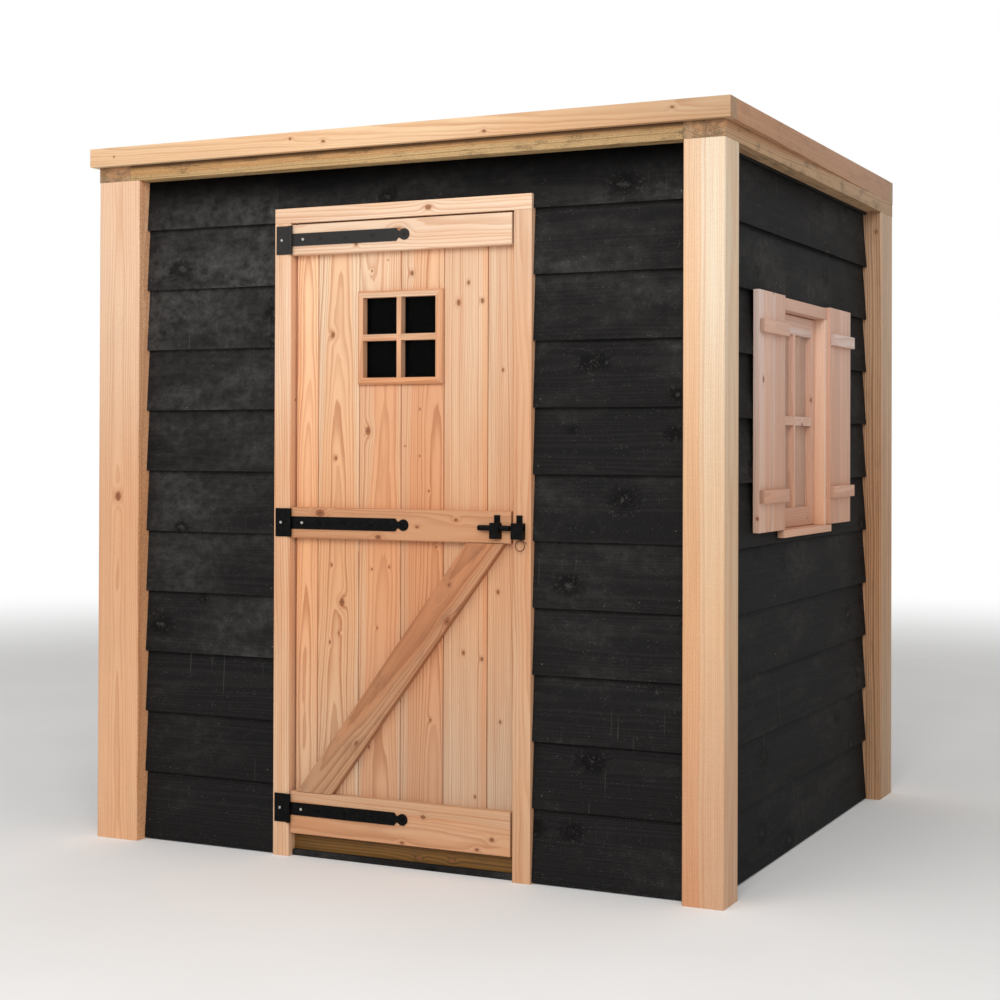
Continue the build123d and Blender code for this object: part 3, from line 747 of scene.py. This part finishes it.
def dress(node, material, regions=((),), ease=timber_ease, knots=None, tone=None, trim=0.0, moulded=False,
          slanting=False):
    """Redo a CAD node as timbers with eased edges, cut into the given regions.

    tone gives a timber's brightness and redness from its middle, trim opens the joints between upright
    boards, moulded timbers are rounded along their length only, and the grain of slanting ones follows
    their edges.
    """
    pile = Pile()
    for number, solid in enumerate(solids_of(node)):
        first, last = (corner.x for corner in extent(solid))
        sides = [above(0, first + trim), below(0, last - trim)] if trim else []
        for part, region in enumerate(regions):
            piece = cut(solid, [*region, *sides])
            if len(piece.faces) >= least_faces:
                low, high = extent(piece)
                own = None if knots is None else [
                    knot for knot in knots if all(low[i] - mm < knot[0][i] < high[i] + mm for i in range(3))]
                level, red = tone((low + high) / 2) if tone else common_tone
                longest = max(range(3), key=lambda i: high[i] - low[i])
                along = Vector([i == longest for i in range(3)]) if moulded else None
                way = longest_edge(piece) if slanting else None
                seed = f"{node} {number} {part}"
                pile.add(eased(piece, ease, along), seed, way, (low, high), own, level, red)
    return pile.finish(f"{node}_timber", material, [node])


def on_face(y, *spots):
    """Knots on a face towards the front, from their x, z and radius in millimetres."""
    return [((x * mm, y, z * mm), radius * mm) for x, z, radius in spots]


# Screws and nails

head_sides = 10
screw_shape = ((1, -0.3), (1, 0.25), (0.75, 0.6), (0.42, 0.65), (0.34, 0.2))
nail_shape = ((1, -0.3), (0.95, 0.25), (0.5, 0.45))


def add_heads(name, carrier, slot, material, shape, outward, heads):
    """Round heads on the body of a node that face one way, each from its place and radius."""
    turn = outward.to_track_quat("Z", "Y").to_matrix()
    whole = bmesh.new()
    for place, radius in heads:
        rings = []
        for reach, rise in shape:
            ring = []
            for i in range(head_sides):
                angle = math.tau * i / head_sides
                offset = Vector((reach * math.cos(angle), reach * math.sin(angle), rise))
                ring.append(whole.verts.new(Vector(place) + turn @ (offset * radius)))
            rings.append(ring)
        for first, second in zip(rings, rings[1:]):
            for i in range(head_sides):
                j = (i + 1) % head_sides
                whole.faces.new((first[i], first[j], second[j], second[i]))
        whole.faces.new(rings[0][::-1])
        whole.faces.new(rings[-1])
    mesh = bpy.data.meshes.new(name)
    whole.to_mesh(mesh)
    whole.free()
    add_piece(name, mesh, material, nodes[carrier]["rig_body"], slot)


# Lapped walls

def wall_axes(side):
    """A wall's start on the posts' outer faces, the way it runs and the way inwards."""
    axes = {
        "front": ((0, shed_low.y, 0), (1, 0, 0), (0, 1, 0)),
        "right": ((shed_high.x - right_wall_inset, 0, 0), (0, 1, 0), (-1, 0, 0)),
        "rear": ((0, shed_high.y, 0), (-1, 0, 0), (0, -1, 0)),
        "left": ((shed_low.x, 0, 0), (0, -1, 0), (1, 0, 0)),
    }
    return [Vector(value) for value in axes[side]]


def lap_spacing(side):
    """The height of the first lap and the height of each board that shows."""
    return side_laps if side in ("left", "right") else front_laps


def lapped_board(side, start, end, low, high, base):
    """One board, feathered upwards, with a slightly uneven lower edge."""
    origin, run, inward = wall_axes(side)
    _, exposure = lap_spacing(side)
    face = [board_setback + board_lap * (z - base) / exposure for z in (low, high)]
    outline = ((face[0], low), (face[1], high), (board_inner, high), (board_inner, low))
    count = max(2, round((end - start) / board_slice))
    solid = bmesh.new()
    rows = []
    for i in range(count + 1):
        along = start + (end - start) * i / count
        place = origin + run * along
        row = [solid.verts.new(place + inward * depth + Vector((0, 0, z))) for depth, z in outline]
        sway = noise.noise(Vector((along * wave_rates[0], base * wave_rates[1], len(side))))
        bow = noise.noise(Vector((along * bow_rates[0], base * bow_rates[1], len(side) + bow_start)))
        row[0].co += Vector((0, 0, -butt_wave * (0.5 + 0.5 * sway))) + inward * butt_bow * bow
        rows.append(row)
    for first, second in zip(rows, rows[1:]):
        for i in range(len(outline)):
            j = (i + 1) % len(outline)
            solid.faces.new((first[i], first[j], second[j], second[i]))
    solid.faces.new(rows[0][::-1])
    solid.faces.new(rows[-1])
    bmesh.ops.recalc_face_normals(solid, faces=solid.faces)
    return eased(solid, timber_ease, run)


def courses(side, low, high):
    """The number, the lower edge and the lowest and highest visible line of each board between heights."""
    first_lap, exposure = lap_spacing(side)
    course = max(math.floor((low + mm - first_lap) / exposure), lowest_course)
    while first_lap + course * exposure < high - mm:
        base = first_lap + course * exposure
        bottom = low if course == lowest_course else max(base, low)
        yield course, base, bottom, min(base + exposure, high)
        course += 1


# Painted light and shade: how light each wall's boards are, by the side the wall faces
wall_painted_light = {"front": 1.0, "right": 0.8, "rear": 0.9, "left": 0.9}
# Dust at the first lap and how much more each board above it has, on the front partly painted sheen
dust_and_sheen_nodes = {"front_wall_left": (0.0, 0.12), "front_wall_over_door": (0.36, 0.02)}
clean_dust = (0.08, 0.03)


def add_board(pile, side, seed, solid, base, dust):
    """Put one board on a wall's pile, with the grain and knots of its whole course."""
    origin, run, inward = wall_axes(side)
    middle = origin + inward * board_setback + Vector((0, 0, base))
    reference = (middle - run, middle + run + Vector((0, 0, lap_spacing(side)[1])))
    low = Vector(map(min, *reference))
    high = Vector(map(max, *reference))
    draw = random.Random(f"{seed} knots")
    knots = []
    for _ in range(draw.randint(*board_knot_counts)):
        place = Vector([draw.uniform(low[i], high[i]) for i in range(3)])
        place -= inward * (place - middle).dot(inward)
        knots.append((place, draw.uniform(*board_knot_millimetres) * mm))
    pile.add(solid, seed, run, (low, high), knots, wall_painted_light[side], dust)


def board_nails(draw, side, start, end, base, bottom, top):
    """The nails along the lower edge of a board, of which only some show."""
    origin, run, inward = wall_axes(side)
    depth = board_setback + board_lap * nail_rise / lap_spacing(side)[1]
    count = max(1, round((end - start) / nail_spacing))
    nails = []
    for i in range(count + 1):
        along = start + nail_inset + (end - start - 2 * nail_inset) * i / count
        along += draw.uniform(-nail_jitter, nail_jitter)
        height = base + nail_rise + draw.uniform(-nail_jitter, nail_jitter)
        place = origin + run * along + inward * depth + Vector((0, 0, height))
        if draw.random() < nails_that_shine and bottom < height < top:
            nails.append((place, nail_radius))
    return nails


def boarded_wall(side, patches, butts):
    """All boards of one wall, with butt joints in some courses, in the place of its CAD nodes."""
    _, run, inward = wall_axes(side)
    pile = Pile()
    draw = random.Random(f"{side} nails")
    nails = []
    for node in patches:
        low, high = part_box(node)
        dust, dust_and_sheen_rise = dust_and_sheen_nodes.get(node, clean_dust)
        reach = sorted((low.dot(run), high.dot(run)))
        for course, base, bottom, top in courses(side, low.z, high.z):
            stops = [-beyond_walls, *butts.get(course, ()), beyond_walls]
            for number, (left, right) in enumerate(zip(stops, stops[1:])):
                start = max(reach[0], left + cut_gap)
                end = min(reach[1], right - cut_gap)
                if end - start > mm:
                    solid = lapped_board(side, start, end, bottom, top, base)
                    seed = f"{side} {course} {number}"
                    add_board(pile, side, seed, solid, base, dust + dust_and_sheen_rise * course)
                    nails += board_nails(draw, side, start, end, base, bottom, top)
    add_heads(f"{side}_nails", patches[0], "bare_wire", dull_zinc, nail_shape, -inward, nails)
    return pile.finish(f"{side}_boards", boards_black, patches)


boarded_wall("front", ["front_wall_left", "front_wall_right", "front_wall_over_door"], {})
boarded_wall("right", ["right_wall_front_part", "right_wall_rear_part", "right_wall_below_window",
                       "right_wall_above_window"], {butt_course: (right_butt,)})
boarded_wall("left", ["left_wall"], {butt_course: (left_butt,)})
boarded_wall("rear", ["rear_wall"], {})


# Posts and roof edge

dress("post_front_left", post_wood, knots=on_face(shed_low.y, (-968, 1083, 11)))
dress("post_front_right", near_wood, knots=())
for post_node in ("post_rear_left", "post_rear_right"):
    dress(post_node, rear_wood)
fascia_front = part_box("fascia_front_rear")[0].y
dress("fascia_front_rear", fascia_wood, knots=on_face(
    fascia_front, (-318, 2166, 4), (-202, 2151, 5), (332, 2142, 5), (901, 2165, 4), (-973, 2156, 3)))
dress("fascia_sides", painted_shade_side_wood)
dress("ring_beams_front_rear", ring_wood)
dress("ring_beams_sides", side_ring_wood)


# Roof, floor and inner timbers

def strips(node, axis, width):
    """Regions that cut a node into boards of one width, side by side."""
    low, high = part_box(node)
    count = round((high[axis] - low[axis]) / width)
    step = (high[axis] - low[axis]) / count
    return [(above(axis, low[axis] + i * step + cut_gap), below(axis, low[axis] + (i + 1) * step - cut_gap))
            for i in range(count)]


dress("roof_deck", inner_wood, strips("roof_deck", 1, deck_width))
dress("floor_boards", inner_wood, strips("floor_boards", 0, floor_width))
for inner_node in ("roof_joists", "wall_studs", "floor_bearers"):
    dress(inner_node, inner_wood)
dress("roof_membrane", felt, strips("roof_membrane", 1, felt_width), ease=felt_ease)


# Door

hinge_board = 80 * mm
latch_boards = 220 * mm
below_top_ledge = 1.5
below_middle_ledge = 0.5

# Brightness and redness of the door's timbers, the redness left to chance where it is none


def ledge_tone(middle):
    """The top ledge is a paler and less red board than the middle one, and the bottom one lies between."""
    if middle.z > below_top_ledge:
        return 0.96, 0.42
    return (0.86, 0.75) if middle.z > below_middle_ledge else (0.87, 0.55)


def leaf_tone(middle):
    """The first board of the door is light, and the two on the latch side are a little darker."""
    if middle.x < leaf_low.x + hinge_board:
        return 1.1, 0.35
    return (0.97, 0.55) if middle.x > leaf_high.x - latch_boards else common_tone


def jamb_tone(middle):
    """The jamb on the hinge side is a little lighter than the other one."""
    return (1.1, None) if middle.x < leaf_low.x else (0.97, None)


def frame_regions(node, run, stile, top, bottom, bars, mitred):
    """Regions that cut a glazed frame into its four sides, an upright bar and two cross bars."""
    low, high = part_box(node)
    ends = (low[run], high[run])
    heights = (low.z, high.z)

    def mitre(side, level, along, up):
        """The half space behind a mitre through an outer corner, from the way that it faces."""
        place = Vector((0, 0, heights[level]))
        place[run] = ends[side]
        outward = Vector((0, 0, up))
        outward[run] = along
        return place, outward.normalized()

    inner = (ends[0] + stile, ends[1] - stile)
    clear = (heights[0] + bottom, heights[1] - top)
    middle = sum(ends) / 2
    centre = sum(clear) / 2
    upright, cross = (bar / 2 for bar in bars)
    sides = [[below(run, inner[0])], [above(run, inner[1])], [below(2, clear[0])], [above(2, clear[1])]]
    if mitred:
        for i, way in ((0, 1), (1, -1)):
            sides[i] += [mitre(i, 0, way, -1), mitre(i, 1, way, 1)]
            sides[2 + i] += [mitre(0, i, -1, way), mitre(1, i, 1, way)]
    else:
        for i in (2, 3):
            sides[i] += [above(run, inner[0]), below(run, inner[1])]
    upright_bar = [above(run, middle - upright), below(run, middle + upright),
                   above(2, clear[0]), below(2, clear[1])]
    level = [above(2, centre - cross), below(2, centre + cross)]
    cross_bars = [level + [above(run, inner[0]), below(run, middle - upright)],
                  level + [above(run, middle + upright), below(run, inner[1])]]
    return sides + [upright_bar] + cross_bars


ledge_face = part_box("door_ledges")[0].y
leaf_ease = 0.8 * mm
leaf_joint = 0.7 * mm
bead_ease = 7 * mm
bead_width = 20 * mm
bead_bars = (15 * mm, 19 * mm)
dress("door_boards", door_wood, ease=leaf_ease, trim=leaf_joint, tone=leaf_tone, knots=on_face(
    leaf_low.y,
    (-80, 1767, 3), (-26, 1797, 2), (56, 1755, 6), (-215, 1579, 7), (-203, 1207, 4), (-92, 1289, 9),
    (84, 1353, 2.5), (34, 1244, 2.5), (84, 1215, 2.5), (115, 1112, 3), (139, 948, 3), (-19, 885, 3),
    (-77, 877, 3), (-216, 885, 3), (-180, 774, 9), (-190, 681, 3), (-222, 652, 4), (-59, 702, 3),
    (121, 440, 4), (-85, 346, 4), (243, 1720, 5), (211, 1663, 7), (288, 1666, 6), (230, 643, 5),
    (290, 628, 5), (269, 228, 4), (355, 1464, 4), (341, 824, 5), (349, 450, 4)))
dress("door_ledges", ledge_wood, tone=ledge_tone, knots=on_face(
    ledge_face,
    (22, 1878, 12), (-120, 1846, 5), (-242, 1042, 11), (90, 1007, 4), (218, 1030, 5), (-41, 974, 7),
    (113, 160, 6), (337, 115, 6), (43, 78, 5), (289, 82, 5)))
dress("door_brace", brace_wood, slanting=True, knots=on_face(
    ledge_face, (196, 841, 4), (-114, 360, 4), (190, 735, 9)))
dress("door_jambs", ledge_wood, tone=jamb_tone)
dress("door_head", ledge_wood, knots=on_face(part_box("door_head")[0].y, (124, 1943, 8)))
dress("door_stops", ledge_wood)
dress("door_threshold", sill_wood, knots=on_face(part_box("door_threshold")[0].y, (83, 30, 6), (192, 34, 6)))
dress("threshold_base", boards_black)
dress("door_window_frame", bead_wood, ease=bead_ease, knots=(), moulded=True, regions=frame_regions(
    "door_window_frame", 0, bead_width, bead_width, bead_width, bead_bars, True))


# Window in the right wall

sash_ease = 1.6 * mm
sash_stile = 45 * mm
sash_top = 60 * mm
sash_bottom = 62 * mm
sash_bars = (14 * mm, 28 * mm)


def shutter_regions():
    """Regions that cut the shutters into two boards each, along their grooves."""
    low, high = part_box("shutters")
    head_low, head_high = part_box("window_head")
    first = (low.y + head_low.y) / 2
    second = (high.y + head_high.y) / 2
    return [[below(1, first)], [above(1, first), below(1, head_low.y + mm)],
            [above(1, head_high.y - mm), below(1, second)], [above(1, second)]]


for window_node in ("window_head", "window_sill", "shutter_battens"):
    dress(window_node, window_wood)
dress("window_jambs", painted_light_reveal, knots=())
dress("shutters", window_wood, shutter_regions())
dress("window_sash", window_wood, ease=sash_ease, regions=frame_regions(
    "window_sash", 1, sash_stile, sash_top, sash_bottom, sash_bars, False))


# Glass and ironwork

iron_ease = 0.7 * mm
iron_segments = 2
iron_edge_angle = math.radians(40)


def coat(node, material):
    """Give a CAD node that stays a finish of its own."""
    nodes[node].data.materials.clear()
    nodes[node].data.materials.append(material)


coat("door_window_glass", door_glass)
coat("window_glass", side_glass)
for iron_node in ("hinge_plates", "hinge_straps", "latch_guide", "latch_keeper", "latch_bolt"):
    coat(iron_node, iron)
    rounding = nodes[iron_node].modifiers.new("worn edges", "BEVEL")
    rounding.width = iron_ease
    rounding.segments = iron_segments
    rounding.limit_method = "ANGLE"
    rounding.angle_limit = iron_edge_angle
coat("latch_ring", wire)


# Screws: their radii, how far in they sit, and how far behind the posts' front a face lies
bright_screw = 5 * mm
strap_screw = 4.2 * mm
latch_screw = 3.4 * mm
plate_screw_inset = 20 * mm
plate_face = 29 * mm
keeper_face = 28 * mm
strap_thickness = 3 * mm
guide_thickness = 4 * mm
knuckle_radius = 6 * mm
first_screw = 42 * mm
later_screws = (103 * mm, 191 * mm, 282 * mm, 390 * mm)
latch_screw_drop = 10 * mm


def add_screws():
    """Bright screws beside each hinge pin, dark ones along the straps, and the rest in their places."""
    plate_screws, strap_screws, dark_screws = [], [], []
    for plate in solids_of("hinge_plates"):
        low, high = extent(plate)
        place = (low.x + plate_screw_inset, shed_low.y + plate_face, (low.z + high.z) / 2)
        plate_screws.append((place, bright_screw))
    for strap in solids_of("hinge_straps"):
        low, high = extent(strap)
        height = (low.z + high.z) / 2
        face = ledge_face - strap_thickness
        pin = low.x + knuckle_radius
        strap_screws.append(((pin + first_screw, face, height), bright_screw))
        dark_screws += [((pin + reach, face, height), strap_screw) for reach in later_screws]
    for guide in solids_of("latch_guide"):
        low, high = extent(guide)
        place = ((low.x + high.x) / 2, ledge_face - guide_thickness, high.z - latch_screw_drop)
        dark_screws.append((place, latch_screw))
    low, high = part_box("latch_keeper")
    place = ((low.x + high.x) / 2, shed_low.y + keeper_face, high.z - latch_screw_drop)
    for name, carrier, slot, material, heads in (
            ("plate_screws", "hinge_plates", "bare_wire", zinc, plate_screws),
            ("strap_screws", "hinge_straps", "bare_wire", zinc, strap_screws),
            ("dark_strap_screws", "hinge_straps", "black_ironwork", iron, dark_screws),
            ("keeper_screws", "latch_keeper", "black_ironwork", iron, [(place, latch_screw)])):
        add_heads(name, carrier, slot, material, screw_shape, Vector((0, -1, 0)), heads)


add_screws()


# Floor, light and camera

floor_radius = 40.0
floor_sides = 96
floor_fade_from = 4.5
floor_fade_to = 10.0
world_level = 0.56
lamps = (
    # name, place, what it is aimed at, power and size
    ("key", Vector((-1.4, -5.6, 5.0)), Vector((-0.3, -0.9, 1.7)), 80.0, 3.6),
    ("fill", Vector((3.0, -7.0, 4.2)), Vector((0.6, -0.6, 1.4)), 260.0, 3.6),
)

camera_place = Vector((2.6098, -5.5669, 1.2379))
camera_yaw = math.radians(25.770)
camera_pitch = math.radians(0.366)
camera_roll = math.radians(0.176)
sensor_width = 36.0
picture_width = 1000
focal_pixels = 1806.2
principal_row = 436.9


def see_white(graph):
    """One where a ray from the camera, a reflection or a pane looks at the background."""
    path = graph.node("LightPath", {})
    camera, glossy, through = [Field(graph, path.outputs[name]) for name in
                               ("Is Camera Ray", "Is Glossy Ray", "Is Transmission Ray")]
    return graph.math("MAXIMUM", graph.math("MAXIMUM", camera, glossy), through)


def floor_material():
    """A pale floor that fades to plain white away from the shed."""
    graph = Graph("pale floor")
    place = graph.place()
    cloud = graph.noise(place, 1.2, detail=4.0)
    colour = graph.mix(cloud, srgb(238, 237, 235), srgb(248, 247, 246))
    diffuse = graph.field("BsdfDiffuse", {"Color": colour})
    white = graph.field("Emission", {"Color": (1, 1, 1, 1), "Strength": 1.0})
    share = graph.step(graph.length(place), floor_fade_from, floor_fade_to) * see_white(graph)
    mixed = graph.field("MixShader", {0: share, 1: diffuse, 2: white})
    graph.node("OutputMaterial", {"Surface": mixed})
    return graph.owner


def add_floor():
    """A large round floor under the shed."""
    mesh = bpy.data.meshes.new("floor")
    shape = bmesh.new()
    bmesh.ops.create_circle(shape, cap_ends=True, segments=floor_sides, radius=floor_radius)
    shape.to_mesh(mesh)
    mesh.materials.append(floor_material())
    add_object("floor", mesh)


def add_world():
    """White surroundings for what is seen, and softer light for what is lit."""
    graph = Graph("studio", bpy.data.worlds)
    bpy.context.scene.world = graph.owner
    level = see_white(graph) * (1.0 - world_level) + world_level
    background = graph.field("Background", {"Color": (1, 1, 1, 1), "Strength": level})
    graph.node("OutputWorld", {"Surface": background})


def add_lamps():
    """Large soft lamps: a key high in front on the left, and a fill on the right."""
    for name, place, aim, power, size in lamps:
        lamp = bpy.data.lights.new(name, "AREA")
        lamp.energy = power
        lamp.size = size
        holder = add_object(name, lamp)
        holder.location = place
        holder.rotation_euler = (aim - place).to_track_quat("-Z", "Y").to_euler()


def add_camera():
    """The camera at the photograph's place and angle."""
    lens = bpy.data.cameras.new("camera")
    lens.sensor_width = sensor_width
    lens.sensor_fit = "HORIZONTAL"
    lens.lens = focal_pixels * sensor_width / picture_width
    lens.shift_y = (principal_row - picture_width / 2) / picture_width
    camera = add_object("camera", lens)
    turn = Matrix.Rotation(camera_yaw, 4, "Z") @ Matrix.Rotation(math.pi / 2 + camera_pitch, 4, "X")
    camera.matrix_world = Matrix.Translation(camera_place) @ turn @ Matrix.Rotation(camera_roll, 4, "Z")
    bpy.context.scene.camera = camera


add_floor()
add_world()
add_lamps()
add_camera()
bpy.context.scene.view_settings.view_transform = "Standard"
